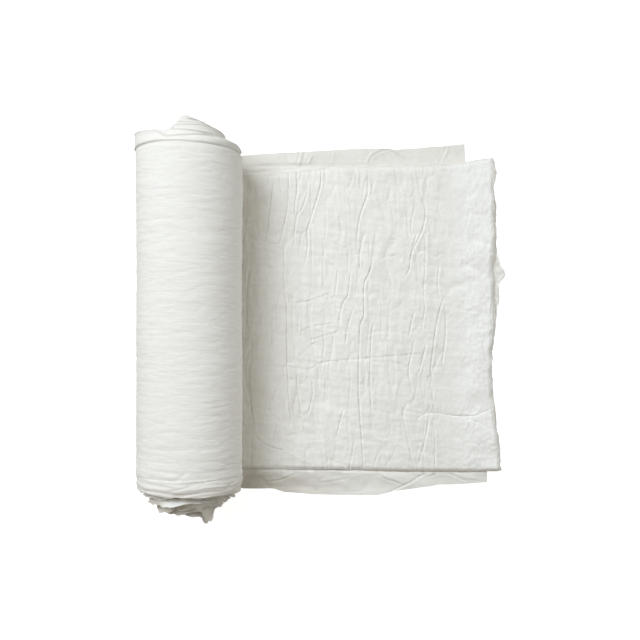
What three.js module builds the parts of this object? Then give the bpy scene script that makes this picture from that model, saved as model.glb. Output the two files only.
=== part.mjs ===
// A gamgee roll: a long pad of cotton wool between two plies of absorbent gauze, rolled up and
// laid on its side, with the outer end of the pad drawn out flat beside the roll.
//
// Millimetres, +Z up. The roll lies along Y and its loose end runs towards +X, on the surface z = 0.
// The origin is on that surface, under the middle of the whole piece. The pad leaves the roll at its
// lowest line: the outermost turn starts there, climbs the side away from the loose end, goes over
// the top and comes down on the loose end, one pad thickness above the surface.

import * as THREE from "three";

// The roll
const OUTER_RADIUS = 68; // of the outermost turn, where it leaves the surface
const TURN_PITCH = 7.6; // one turn of pad, pressed by the winding
const TURN_COUNT = 8; // down to the small tight core
const STEPS_PER_TURN = 48;
const FLATTENING = 1; // how far the weight of the roll presses its underside flat
const WIDER_AT_FAR_END = 0.7; // growth of the radius at the far end, and its loss at the near end
const BARREL_WAVE = 0.35; // unevenness of the barrel
const BARREL_STATIONS = [-150, -75, 0, 75, 150];
const OUTER_PLY_EDGE = 203; // where the outermost gauze ends, short of the wool under it
const OUTER_PLY_THICKNESS = 1.1;
const TEAR_DEPTH = 0.8; // of the torn edges at the near end

// How far each turn's edge reaches from the middle of the roll, at four places round the turn:
// under the roll, on the side away from the loose end, on top, and on the loose end's side.
const FAR_EDGES = [
  { under: 212, away: 221, top: 212, loose: 209 },
  { under: 214, away: 222, top: 216, loose: 214 },
  { under: 216, away: 222, top: 222, loose: 219 },
  { under: 220, away: 223, top: 230, loose: 224 },
  { under: 224, away: 226, top: 235, loose: 228 },
  { under: 228, away: 230, top: 238, loose: 233 },
  { under: 232, away: 236, top: 240, loose: 241 },
  { under: 242, away: 242, top: 242, loose: 242 },
];
const NEAR_EDGES = [
  { under: 205, away: 198, top: 204, loose: 208 },
  { under: 210, away: 211, top: 209, loose: 211 },
  { under: 214, away: 216, top: 214, loose: 215 },
  { under: 218, away: 220, top: 225, loose: 221 },
  { under: 222, away: 224, top: 231, loose: 227 },
  { under: 226, away: 229, top: 240.5, loose: 236 },
  { under: 230, away: 231, top: 234, loose: 232 },
  { under: 230, away: 230, top: 230, loose: 230 },
];

// The loose end. Lengths along it are measured from the vertical plane through the roll's axis.
const PLY_GAP = 0.3; // between one ply and the next, and between the plies and the roll
const GAUZE_THICKNESS = 1;
const WOOL_UNDER_ROLL = 3.7; // pressed by the roll
const WOOL_IN_THE_OPEN = 5.6;
const WOOL_AT_THE_EDGE = 2.2;
const SWELL_COLUMNS = [5, 11, 18, 25, 32]; // the wool swells back between the first and the last
const FACE_GAUZE_RELIEF = 0.6; // the ply's mean rise over its own thickness, which the creases cut into
const CREASE_HALF_WIDTH = 2.6;
const TUFT_REACH = 399.5; // the furthest tuft of torn wool

// The wide back gauze: its two edges, and how high its margins ride up there.
const BACK_GAUZE_EDGES = [
  { along: 0, near: -206, far: 207, nearLift: 0, farLift: 0 },
  { along: 57, near: -221, far: 216, nearLift: 0.4, farLift: 0.3 },
  { along: 98, near: -221, far: 218, nearLift: 1, farLift: 0.6 },
  { along: 113, near: -226, far: 219, nearLift: 3, farLift: 1.2 },
  { along: 137, near: -227.5, far: 220, nearLift: 1.2, farLift: 0.4 },
  { along: 168, near: -229, far: 222, nearLift: 2.6, farLift: 1.6 },
  { along: 197, near: -229.5, far: 224.3, nearLift: 1, farLift: 0.6 },
  { along: 234, near: -229, far: 224.5, nearLift: 3.2, farLift: 2.4 },
  { along: 256, near: -224, far: 223, nearLift: 0.8, farLift: 0.8 },
  { along: 290, near: -218.5, far: 225.5, nearLift: 2.8, farLift: 0.5 },
  { along: 315, near: -216, far: 227.5, nearLift: 1, farLift: 1.4 },
  { along: 347, near: -214.5, far: 231, nearLift: 2.4, farLift: 0.4 },
  { along: 377, near: -212.5, far: 233, nearLift: 0.6, farLift: 0.4 },
];
const BACK_GAUZE_END = { near: 377, far: 347 };
const DRAPE = { from: 1.5, to: 8 }; // past that end, where the pad comes down to the surface
const PAD_HALF_WIDTH = 195; // the margins start to lift outside the pad

// The wool's cut end, torn and uneven, and the end of the face gauze that covers it.
const PAD_ENDS = [
  { across: -197, wool: 394.6, gauze: 391.5 },
  { across: -156, wool: 390.7, gauze: 387 },
  { across: -120, wool: 386.8, gauze: 383.5 },
  { across: -98, wool: 383.6, gauze: 381 },
  { across: -58, wool: 381.7, gauze: 379 },
  { across: -6, wool: 386.2, gauze: 380.5 },
  { across: 26, wool: 391.5, gauze: 380.5 },
  { across: 43, wool: 391, gauze: 380.5 },
  { across: 50, wool: 395, gauze: 380.2 },
  { across: 56, wool: TUFT_REACH, gauze: 380 },
  { across: 63, wool: 398.5, gauze: 379.8 },
  { across: 70, wool: 393, gauze: 379.5 },
  { across: 100, wool: 388.1, gauze: 379 },
  { across: 145, wool: 387.5, gauze: 378.5 },
  { across: 173, wool: 384.2, gauze: 377 },
  { across: 192, wool: 387.5, gauze: 378 },
  { across: 211, wool: 383.6, gauze: 377 },
];

// The pad's two long edges.
const PAD_EDGES = [
  { along: 0, near: -193, woolFar: 201, gauzeFar: 186 },
  { along: 67, near: -193.3, woolFar: 201.5, gauzeFar: 187.5 },
  { along: 100, near: -194, woolFar: 201, gauzeFar: 190.7 },
  { along: 132, near: -194.6, woolFar: 201, gauzeFar: 193.3 },
  { along: 178, near: -195, woolFar: 201.5, gauzeFar: 199.2 },
  { along: 262, near: -196.6, woolFar: 201.5, gauzeFar: 199.8 },
  { along: 314, near: -197.2, woolFar: 203, gauzeFar: 201.1 },
  { along: 347, near: -197, woolFar: 206, gauzeFar: 205 },
  { along: 366, near: -196.8, woolFar: 210, gauzeFar: 208.9 },
  { along: 395, near: -196.6, woolFar: 213, gauzeFar: 211.5 },
];

// The creases that the winding pressed into the face gauze, each a bent line across the pad through
// its places at the far edge, in the middle and at the near edge. from and to bound where it shows.
const CREASES = [
  { far: 99, middle: 92, near: 104, depth: 0.5, from: 195, to: -110 },
  { far: 107, middle: 116, near: 119, depth: 0.5, from: 100, to: -150 },
  { far: 127, middle: 130, near: 142, depth: 0.5, from: 180, to: -160 },
  { far: 160, middle: 145, near: 157, depth: 0.6, from: 200, to: 50 },
  { far: 174, middle: 162, near: 168, depth: 0.4, from: -20, to: -105 },
  { far: 194, middle: 191, near: 187, depth: 0.5, from: 68, to: -150 },
  { far: 220, middle: 213, near: 216, depth: 0.9, from: 200, to: -200 },
  { far: 229, middle: 228, near: 231, depth: 0.7, from: 90, to: -200 },
  { far: 275, middle: 276, near: 277, depth: 0.5, from: 170, to: -200 },
  { far: 285, middle: 293, near: 288, depth: 0.7, from: 200, to: -200 },
  { far: 304, middle: 313, near: 307, depth: 0.9, from: 90, to: -200 },
];
const PAD_CORNERS = PAD_EDGES[PAD_EDGES.length - 1];
const PLAIN_COLUMNS = [...SWELL_COLUMNS, 50, 72, 240, 262, 325, 342, 358];
const PAD_ROWS = 22;
const GAUZE_COLUMNS = 30;
const GAUZE_ROWS = 12;
const WOOL_COLUMNS = [...SWELL_COLUMNS, 75, 120, 165, 210, 255, 300, 340];
const WOOL_ROWS = 34;

const axisHeight = OUTER_RADIUS - FLATTENING;
// On the side away from the loose end the winding has already gone in by a quarter of its pitch.
const barrelReach = OUTER_RADIUS - TURN_PITCH / 4 + WIDER_AT_FAR_END * Math.SQRT1_2;
const axisX = (barrelReach - TUFT_REACH) / 2;

// Collects the points and faces of one closed solid. A face's corners run anticlockwise from outside.
class Shell {
  constructor() {
    this.points = [];
    this.corners = [];
  }

  point(x, y, z) {
    this.points.push(x, y, z);
    return this.points.length / 3 - 1;
  }

  face(first, ...others) {
    for (let i = 0; i + 1 < others.length; i += 1) {
      const triangle = [first, others[i], others[i + 1]];
      if (new Set(triangle).size === 3) this.corners.push(...triangle);
    }
  }

  geometry() {
    const geometry = new THREE.BufferGeometry();
    geometry.setAttribute("position", new THREE.Float32BufferAttribute(this.points, 3));
    geometry.setIndex(this.corners);
    geometry.computeVertexNormals();
    return geometry;
  }
}

// The value of one column of a table at a place along another, on straight lines between its rows.
function tableValue(rows, key, column, at) {
  const last = rows.length - 1;
  const inside = THREE.MathUtils.clamp(at, rows[0][key], rows[last][key]);
  const next = Math.max(1, rows.findIndex((row) => row[key] >= inside));
  const [low, high] = [rows[next - 1], rows[next]];
  return THREE.MathUtils.mapLinear(inside, low[key], high[key], low[column], high[column]);
}

// How far the edge of the turn reaches at one step of the winding, smoothly from place to place.
function edgeReach(edges, step) {
  const places = edges.flatMap(({ under, away, top, loose }) => [under, away, top, loose]);
  const quarter = (4 * step) / STEPS_PER_TURN;
  const index = Math.min(Math.floor(quarter), places.length - 1);
  const next = Math.min(index + 1, places.length - 1);
  const share = THREE.MathUtils.smoothstep(quarter - index, 0, 1);
  return THREE.MathUtils.lerp(places[index], places[next], share);
}

// The torn outline of the near end, which fades out towards the first and the last turn.
function tear(step) {
  const turn = step / STEPS_PER_TURN;
  const fade = THREE.MathUtils.smoothstep(turn, 0.7, 1.6) * THREE.MathUtils.smoothstep(6.8 - turn, 0, 1);
  return fade * TEAR_DEPTH * (Math.sin(1.1 * step) + Math.sin(0.43 * step + 1));
}

function rollGeometry() {
  const shell = new Shell();
  const lastStep = TURN_COUNT * STEPS_PER_TURN;
  const coreStart = lastStep - STEPS_PER_TURN;

  const place = (step, y, inset = 0) => {
    const angle = (2 * Math.PI * step) / STEPS_PER_TURN;
    const taper = (WIDER_AT_FAR_END * y) / OUTER_PLY_EDGE;
    const wave = BARREL_WAVE * Math.sin(2 * angle + y / 60) * Math.sin(angle / 2);
    const shrink = (TURN_PITCH * step) / STEPS_PER_TURN;
    const underneath = Math.abs(Math.sin(angle / 2));
    const radius = OUTER_RADIUS - shrink - inset + (taper + wave) * underneath;
    const z = axisHeight - radius * Math.cos(angle);
    return shell.point(axisX - radius * Math.sin(angle), y, Math.max(0, z));
  };
  const farReach = (step) => edgeReach(FAR_EDGES, step);
  const nearReach = (step) => edgeReach(NEAR_EDGES, step) + tear(step);

  // Each end is a spiral staircase: a turn's edge lies between its own outer line and the next turn's.
  const ends = [
    { side: 1, reach: farReach, inset: OUTER_PLY_THICKNESS },
    { side: -1, reach: nearReach, inset: 0 },
  ].map(({ side, reach, inset }) => {
    const outer = [];
    const inner = [];
    for (let step = 0; step <= lastStep; step += 1) {
      outer.push(place(step, side * reach(step), inset));
      const turnOutside = step - STEPS_PER_TURN;
      const meetsCore = step === lastStep;
      if (turnOutside < 0) inner.push(null);
      else if (meetsCore) inner.push(outer[step]);
      else inner.push(place(step, side * reach(turnOutside), inset));
    }
    return { side, reach, outer, inner };
  });

  for (const { side, reach, outer, inner } of ends) {
    const face = (...corners) => shell.face(...(side > 0 ? corners : corners.reverse()));
    for (let step = 0; step < coreStart; step += 1) {
      const inside = step + STEPS_PER_TURN;
      face(outer[step], outer[step + 1], inner[inside + 1], inner[inside]);
      face(inner[inside], inner[inside + 1], outer[inside + 1], outer[inside]);
    }
    const centre = shell.point(axisX, side * reach(lastStep), axisHeight);
    for (let step = coreStart + 1; step < lastStep; step += 1) {
      face(outer[step], outer[step + 1], centre);
    }
    face(outer[coreStart + 1], centre, outer[lastStep], outer[coreStart]);
  }

  // The barrel, from its near edge to its far edge. Where the first turn ends, the edges of the turn
  // outside lie a little in from those of the turn inside, so each line of the barrel has both.
  const [far, near] = ends;
  const farShoulder = farReach(STEPS_PER_TURN) - farReach(0);
  const nearShoulder = nearReach(STEPS_PER_TURN) - nearReach(0);
  const lines = [];
  for (let step = 0; step <= STEPS_PER_TURN; step += 1) {
    const turned = step === STEPS_PER_TURN;
    const shoulders = turned
      ? [near.inner[step], far.inner[step]]
      : [
          place(step, nearShoulder - nearReach(step)),
          place(step, farReach(step) - farShoulder, OUTER_PLY_THICKNESS),
        ];
    lines.push([
      near.outer[step],
      shoulders[0],
      ...BARREL_STATIONS.map((y) => place(step, y)),
      place(step, OUTER_PLY_EDGE),
      place(step, OUTER_PLY_EDGE + PLY_GAP, OUTER_PLY_THICKNESS),
      shoulders[1],
      far.outer[step],
    ]);
  }
  for (let step = 0; step < STEPS_PER_TURN; step += 1) {
    for (let row = 0; row + 1 < lines[0].length; row += 1) {
      shell.face(lines[step][row], lines[step + 1][row], lines[step + 1][row + 1], lines[step][row + 1]);
    }
  }

  // The cut face under the roll, one pad thickness high, which the loose end butts against.
  const [start, end] = [lines[0], lines[STEPS_PER_TURN]];
  const top = start.length - 1;
  for (let row = 1; row < top - 1; row += 1) {
    shell.face(start[row], start[row + 1], end[row + 1], end[row]);
  }
  shell.face(start[0], start[1], end[1]);
  shell.face(start[top - 1], start[top], end[top - 1]);
  return shell.geometry();
}

// A sheet as one closed solid, from the places of a grid: each has x, y and the heights of its two faces.
function sheetGeometry(columns, rows, placeOf) {
  const shell = new Shell();
  const low = [];
  const high = [];
  for (let i = 0; i <= columns; i += 1) {
    low.push([]);
    high.push([]);
    for (let j = 0; j <= rows; j += 1) {
      const { x, y, bottom, top } = placeOf(i, j);
      low[i].push(shell.point(x, y, bottom));
      high[i].push(shell.point(x, y, top));
    }
  }
  for (let i = 0; i < columns; i += 1) {
    for (let j = 0; j < rows; j += 1) {
      shell.face(high[i][j], high[i + 1][j], high[i + 1][j + 1], high[i][j + 1]);
      shell.face(low[i][j], low[i][j + 1], low[i + 1][j + 1], low[i + 1][j]);
    }
    shell.face(low[i][0], low[i + 1][0], high[i + 1][0], high[i][0]);
    shell.face(low[i + 1][rows], low[i][rows], high[i][rows], high[i + 1][rows]);
  }
  for (let j = 0; j < rows; j += 1) {
    shell.face(low[0][j + 1], low[0][j], high[0][j], high[0][j + 1]);
    shell.face(low[columns][j], low[columns][j + 1], high[columns][j + 1], high[columns][j]);
  }
  return shell.geometry();
}

// From 0 where the roll presses the pad to 1 where it lies open.
function openness(along) {
  return THREE.MathUtils.smoothstep(along, SWELL_COLUMNS[0], SWELL_COLUMNS[SWELL_COLUMNS.length - 1]);
}

function woolThickness(along) {
  return THREE.MathUtils.lerp(WOOL_UNDER_ROLL, WOOL_IN_THE_OPEN, openness(along));
}

const woolBottom = GAUZE_THICKNESS + PLY_GAP;

function backGauzeGeometry() {
  return sheetGeometry(GAUZE_COLUMNS, GAUZE_ROWS, (i, j) => {
    // Half of the rows lie in the two margins, where the folds are.
    const rowShares = [0, 0.03, 0.06, 0.09, 0.2, 0.35, 0.5, 0.65, 0.8, 0.91, 0.94, 0.97, 1];
    const share = rowShares[j];
    const end = THREE.MathUtils.lerp(BACK_GAUZE_END.near, BACK_GAUZE_END.far, share);
    const along = THREE.MathUtils.lerp(PLY_GAP, end, i / GAUZE_COLUMNS);
    const near = tableValue(BACK_GAUZE_EDGES, "along", "near", along);
    const far = tableValue(BACK_GAUZE_EDGES, "along", "far", along);
    const y = THREE.MathUtils.lerp(near, far, share);
    const side = y < 0 ? "nearLift" : "farLift";
    const outside = THREE.MathUtils.smoothstep(Math.abs(y), PAD_HALF_WIDTH + 8, PAD_HALF_WIDTH + 30);
    const lift = outside * tableValue(BACK_GAUZE_EDGES, "along", side, along);
    return { x: axisX + along, y, bottom: lift, top: lift + GAUZE_THICKNESS };
  });
}

// The wool comes down to the surface past the back gauze's end, is level on top up to the face
// gauze's end, and thins from there to its own torn end.
function woolGeometry() {
  const edgeShares = [0, 0.5, 1];
  const columnsOf = (across) => {
    const share = THREE.MathUtils.inverseLerp(PAD_CORNERS.near, PAD_CORNERS.woolFar, across);
    const backEnd = THREE.MathUtils.lerp(BACK_GAUZE_END.near, BACK_GAUZE_END.far, share);
    const gauzeEnd = tableValue(PAD_ENDS, "across", "gauze", across);
    const woolEnd = tableValue(PAD_ENDS, "across", "wool", across);
    const level = [PLY_GAP, ...WOOL_COLUMNS, backEnd + DRAPE.from];
    return [
      ...level.map((along) => ({ along, bottom: woolBottom, top: woolBottom + woolThickness(along) })),
      { along: backEnd + DRAPE.to, bottom: 0, top: woolBottom + WOOL_IN_THE_OPEN },
      ...edgeShares.map((edgeShare) => ({
        along: THREE.MathUtils.lerp(gauzeEnd, woolEnd, edgeShare),
        bottom: 0,
        top: THREE.MathUtils.lerp(woolBottom + WOOL_IN_THE_OPEN, WOOL_AT_THE_EDGE, edgeShare ** 2),
      })),
    ];
  };

  return sheetGeometry(columnsOf(0).length - 1, WOOL_ROWS, (i, j) => {
    const share = j / WOOL_ROWS;
    const across = THREE.MathUtils.lerp(PAD_CORNERS.near, PAD_CORNERS.woolFar, share);
    const { along, bottom, top } = columnsOf(across)[i];
    const near = tableValue(PAD_EDGES, "along", "near", along);
    const far = tableValue(PAD_EDGES, "along", "woolFar", along);
    return { x: axisX + along, y: THREE.MathUtils.lerp(near, far, share), bottom, top };
  });
}

// A crease's place along the loose end at one place across the pad, on a parabola through three places.
function creaseAlong({ far, middle, near }, across) {
  const t = across / PAD_HALF_WIDTH;
  return middle + ((far - near) / 2) * t + ((far + near) / 2 - middle) * t * t;
}

function creaseStrength({ from, to }, across) {
  const fade = 18;
  return THREE.MathUtils.smoothstep(from - across, 0, fade) * THREE.MathUtils.smoothstep(across - to, 0, fade);
}

function faceGauzeGeometry() {
  // Each crease has a line of points in its trough and one on the tuck beside it, which stands up.
  const columns = [
    ...PLAIN_COLUMNS.map((along) => ({ order: along, along: () => along, relief: () => 0 })),
    ...CREASES.flatMap((crease) =>
      [
        { offset: -CREASE_HALF_WIDTH, rise: 0 },
        { offset: 0, rise: -1 },
        { offset: CREASE_HALF_WIDTH, rise: 1 },
      ].map(({ offset, rise }) => ({
        order: crease.middle + offset,
        along: (across) => creaseAlong(crease, across) + offset,
        relief: (across) => rise * crease.depth * creaseStrength(crease, across),
      })),
    ),
  ].sort((a, b) => a.order - b.order);
  const endShares = [0.5, 0.8, 1]; // the last lines, between the last plain column and the ply's end

  return sheetGeometry(columns.length + endShares.length, PAD_ROWS, (i, j) => {
    const share = j / PAD_ROWS;
    const across = THREE.MathUtils.lerp(PAD_CORNERS.near, PAD_CORNERS.gauzeFar, share);
    const lastColumn = columns[columns.length - 1].along(across);
    const end = tableValue(PAD_ENDS, "across", "gauze", across);
    let along = PLY_GAP;
    let relief = 0;
    if (i > columns.length) along = THREE.MathUtils.lerp(lastColumn, end, endShares[i - columns.length - 1]);
    else if (i > 0) {
      along = columns[i - 1].along(across);
      relief = columns[i - 1].relief(across);
    }
    const near = tableValue(PAD_EDGES, "along", "near", along);
    const far = tableValue(PAD_EDGES, "along", "gauzeFar", along);
    const y = THREE.MathUtils.lerp(near, far, share);
    const bottom = woolBottom + woolThickness(along) + PLY_GAP;
    const top = bottom + GAUZE_THICKNESS + openness(along) * FACE_GAUZE_RELIEF + relief;
    return { x: axisX + along, y, bottom, top };
  });
}

const gauzeFinish = { color: 0xf1f1ec, roughness: 0.95, metalness: 0 };
const woolFinish = { color: 0xf6f5f0, roughness: 1, metalness: 0 };

const roll = new THREE.Group();
const addPiece = (name, geometry, finish) => {
  const mesh = new THREE.Mesh(geometry, new THREE.MeshStandardMaterial(finish));
  mesh.name = name;
  roll.add(mesh);
};
addPiece("roll", rollGeometry(), gauzeFinish);
addPiece("back_gauze", backGauzeGeometry(), gauzeFinish);
addPiece("wool_layer", woolGeometry(), woolFinish);
addPiece("face_gauze", faceGauzeGeometry(), gauzeFinish);

export default roll;
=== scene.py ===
# %% [markdown]
# # A gamgee roll
# Gamgee is a hospital dressing: a long pad of cotton wool between two plies of absorbent gauze,
# sold rolled up. This one lies on its side with the outer end of the pad drawn out flat, inner face
# up, so the creases that the winding pressed into it show.
# The lesson starts from a plain solid model and gives it cloth: each ply of gauze becomes a thin
# sheet bent from its flat cut, and the wool a soft pad between the plies. Everything is in metres,
# with +Z up, on the surface z = 0.

# %% Load the solid model
import math

import bpy
import numpy as np
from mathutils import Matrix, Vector


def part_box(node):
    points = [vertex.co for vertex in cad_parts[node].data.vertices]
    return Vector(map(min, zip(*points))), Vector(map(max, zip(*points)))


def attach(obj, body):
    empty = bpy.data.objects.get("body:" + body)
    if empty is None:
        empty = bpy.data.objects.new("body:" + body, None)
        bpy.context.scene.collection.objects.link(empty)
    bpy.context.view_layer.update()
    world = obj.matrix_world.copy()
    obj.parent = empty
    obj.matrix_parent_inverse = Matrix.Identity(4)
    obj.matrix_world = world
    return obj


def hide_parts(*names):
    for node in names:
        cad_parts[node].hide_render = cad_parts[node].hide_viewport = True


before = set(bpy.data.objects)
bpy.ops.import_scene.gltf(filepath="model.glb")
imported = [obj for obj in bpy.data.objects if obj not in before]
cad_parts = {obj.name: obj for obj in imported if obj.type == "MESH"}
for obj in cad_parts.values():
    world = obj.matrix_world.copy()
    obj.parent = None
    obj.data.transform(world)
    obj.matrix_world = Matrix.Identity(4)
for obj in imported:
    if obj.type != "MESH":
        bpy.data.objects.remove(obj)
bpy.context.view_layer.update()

MM = 0.001

# %% [markdown]
# ## The camera
# The roll was photographed from straight above. A camera that looks down has no turn at all, with
# +Y up in the picture. Its lens follows from the focal length in the picture's own pixels, and its
# place from how far the roll's axis lies to the left of the picture's middle.

# %% Set up the camera
CAMERA_HEIGHT = 1.0
PICTURE_SIDE = 640
FOCAL_LENGTH = 762  # in the picture's pixels
SENSOR_WIDTH = 36  # millimetres, as camera lenses are given
CAMERA_FROM_AXIS = 157.7 * MM
PLY_GAP = 0.3 * MM  # between one ply and the next, as in the solid model

axis_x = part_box("back_gauze")[0].x - PLY_GAP
bpy.ops.object.camera_add(location=(axis_x + CAMERA_FROM_AXIS, 0, CAMERA_HEIGHT), rotation=(0, 0, 0))
camera = bpy.context.object
camera.data.sensor_width = SENSOR_WIDTH
camera.data.lens = SENSOR_WIDTH * FOCAL_LENGTH / PICTURE_SIDE
bpy.context.scene.camera = camera
print("lens:", round(camera.data.lens, 2), "mm; the roll's axis is at x =", round(axis_x, 4))

# %% [markdown]
# ## Light and floor
# White cotton on a white table needs light with a direction, or its folds vanish. A large soft lamp
# on the left, towards the roll's far end, draws the creases and leaves the roll's right side and
# near end in shade. A weak one low on the right gives that side a paler rim, and a pale sky fills
# the shadows. The lamps are a little cool and the sky a little warm, so lit cloth looks white and
# its shadows warm. The plain view transform keeps white white, where the default one greys it.

# %% Light the table
SKY_COLOUR = (1.0, 0.94, 0.82)
SKY_STRENGTH = 0.27
LAMP_COLOUR = (0.865, 0.925, 1.0)
LAMP_DISTANCE = 2.5
LAMP_SIDE = 1.5
# Each lamp's power in watts, and its tilt from straight above to the left and to the far end.
LAMPS = {"key": (54.5, 29, 28), "fill": (16, -76, 0)}
FLOOR_SIDE = 6
FLOOR_DROP = 0.4 * MM  # just under the cloth, so that the two don't flicker through each other
FLOOR_GLOW = 0.75

bpy.context.scene.view_settings.view_transform = "Standard"
world = bpy.data.worlds.new("pale studio")
world.use_nodes = True
world.node_tree.nodes["Background"].inputs["Color"].default_value = (*SKY_COLOUR, 1)
world.node_tree.nodes["Background"].inputs["Strength"].default_value = SKY_STRENGTH
bpy.context.scene.world = world

for name, (power, left, far) in LAMPS.items():
    tilt = (-math.tan(math.radians(left)), math.tan(math.radians(far)), 1)
    towards_lamp = Vector(tilt).normalized()
    bpy.ops.object.light_add(
        type="AREA",
        location=towards_lamp * LAMP_DISTANCE,
        rotation=towards_lamp.to_track_quat("Z", "Y").to_euler(),
    )
    lamp = bpy.context.object
    lamp.name = name
    lamp.data.size = LAMP_SIDE
    lamp.data.energy = power
    lamp.data.color = LAMP_COLOUR
    print(name, "lamp at", [round(c, 2) for c in lamp.location])

# %% [markdown]
# ## A few small tools
# Colours are written as the hex codes that a picture editor shows, and the shader wants them linear,
# so one function turns them. Another adds a node with its settings and links. Cloth is never quite
# even, so others give smooth random heights, the same on every run, whose cells can be long one way
# and short the other, as wrinkles are. They take their cells and heights in millimetres.

# %% Make the tools
def linear(hex_colour):
    parts = [int(hex_colour[i : i + 2], 16) / 255 for i in (1, 3, 5)]
    return [p / 12.92 if p <= 0.04045 else ((p + 0.055) / 1.055) ** 2.4 for p in parts] + [1]


def add_node(tree, kind, sockets=None, stops=(), **settings):
    """Adds a shader node. sockets gives its inputs, each a plain value or another node's output,
    and stops gives a colour ramp's places and colours."""
    node = tree.nodes.new("ShaderNode" + kind)
    for name, value in settings.items():
        setattr(node, name, value)
    for name, value in (sockets or {}).items():
        if isinstance(value, bpy.types.NodeSocket):
            tree.links.new(value, node.inputs[name])
        else:
            node.inputs[name].default_value = value
    for place, _ in stops[1:-1]:
        node.color_ramp.elements.new(place)
    for k, (place, hex_colour) in enumerate(stops):
        node.color_ramp.elements[k].position = place
        node.color_ramp.elements[k].color = linear(hex_colour)
    return node


def smooth(value, low, high):
    """0 below low, 1 above high, and a smooth rise between them."""
    t = np.clip((value - low) / (high - low), 0, 1)
    return t * t * (3 - 2 * t)


def rise(length, low, high):
    """The same for a length in metres, with low and high in millimetres."""
    return smooth(length, low * MM, high * MM)


LATTICE = 97  # random values each way, before the noise repeats


def uneven(u, v, cell_u, cell_v, seed):
    """Smooth random heights from -1 to 1, new ones about every cell_u by cell_v millimetres."""
    values = np.random.default_rng(seed).uniform(-1, 1, (LATTICE, LATTICE))
    a, b = u / (cell_u * MM), v / (cell_v * MM)
    i, j = np.floor(a).astype(int), np.floor(b).astype(int)
    s, t = smooth(a - i, 0, 1), smooth(b - j, 0, 1)
    near, far = (
        values[i % LATTICE, (j + k) % LATTICE] * (1 - s) + values[(i + 1) % LATTICE, (j + k) % LATTICE] * s
        for k in (0, 1)
    )
    return near * (1 - t) + far * t


def layered(u, v, *layers):
    """Several of them added up, in metres. Each layer is a height, its two cells and a seed."""
    return sum(height * MM * uneven(u, v, *cells_and_seed) for height, *cells_and_seed in layers)


def ragged(u, *layers):
    """How far an edge wavers, in metres. Each layer is a height, a cell along the edge and a seed."""
    return layered(u, 0 * u, *((height, cell, 1, seed) for height, cell, seed in layers))


def hairlines(u, v, cell_u, cell_v, width, seed):
    """Thin bent lines, 1 on a line and 0 between them, which follow the longer side of the cells."""
    return np.exp(-((uneven(u, v, cell_u, cell_v, seed) / width) ** 2))


print("middle grey #808080 is", round(linear("#808080")[0], 3), "in linear light")

# %% [markdown]
# ## Gauze
# Absorbent gauze is bleached cotton in an open plain weave, about seven threads to the centimetre
# one way and six the other. It gives the eye a matt, slightly warm white, with fine threads that
# only show close by, and thicker and thinner stretches of yarn. The threads are drawn as two crossed
# waves at their real spacing on the flat cloth, which the cloth's own map carries round the roll. So
# thin a cloth takes its white partly from what is behind it: a ply alone looks a little greyer than
# one on wool, and fluffed wool shows whitest. Shade is painted in as well: the outermost ply's near
# end, the near margins inside the roll and the back gauze's near margin by the roll are painted
# greyer, as painted shade, and one torn flap whiter, as a painted highlight. Each point of the cloth
# carries all of that.

# %% Make the gauze
WARP_SPACING = 1.4 * MM
WEFT_SPACING = 1.7 * MM
WAVE_LENGTH = 0.31416  # of a wave texture at a scale of 1
THREAD_HEIGHT = 0.3 * MM
SLUB_LENGTH = 9 * MM  # a thick stretch of yarn
SLUB_WHITES = ((0.3, "#FAF9F6"), (0.62, "#FFFFFF"))
# The gauze's white with nothing behind it, with flat wool, and with fluffed wool. The first is also the
# painted shade's grey and the last the painted highlight's white.
ALONE_AND_PAINTED_SHADE, ON_WOOL, ON_FLUFFED_WOOL = 0, 0.5, 1
GAUZE_WHITES_AND_PAINTED_LIGHT = ((ALONE_AND_PAINTED_SHADE, "#E2DDD3"), (ON_WOOL, "#F4F2EC"), (ON_FLUFFED_WOOL, "#FDFCF8"))
CLOTH_MAP = "cloth"
BACKING_AND_PAINTED_LIGHT = "backing_and_painted_light"


def cotton(name, roughness, sheen):
    """A material with a matt cotton shader, its tree and that shader."""
    material = bpy.data.materials.new(name)
    material.use_nodes = True
    tree = material.node_tree
    shader = tree.nodes["Principled BSDF"]
    shader.inputs["Roughness"].default_value = roughness
    shader.inputs["Specular IOR Level"].default_value = 0.2
    shader.inputs["Sheen Weight"].default_value = sheen
    shader.inputs["Sheen Roughness"].default_value = 0.6
    return material, tree, shader


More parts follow.
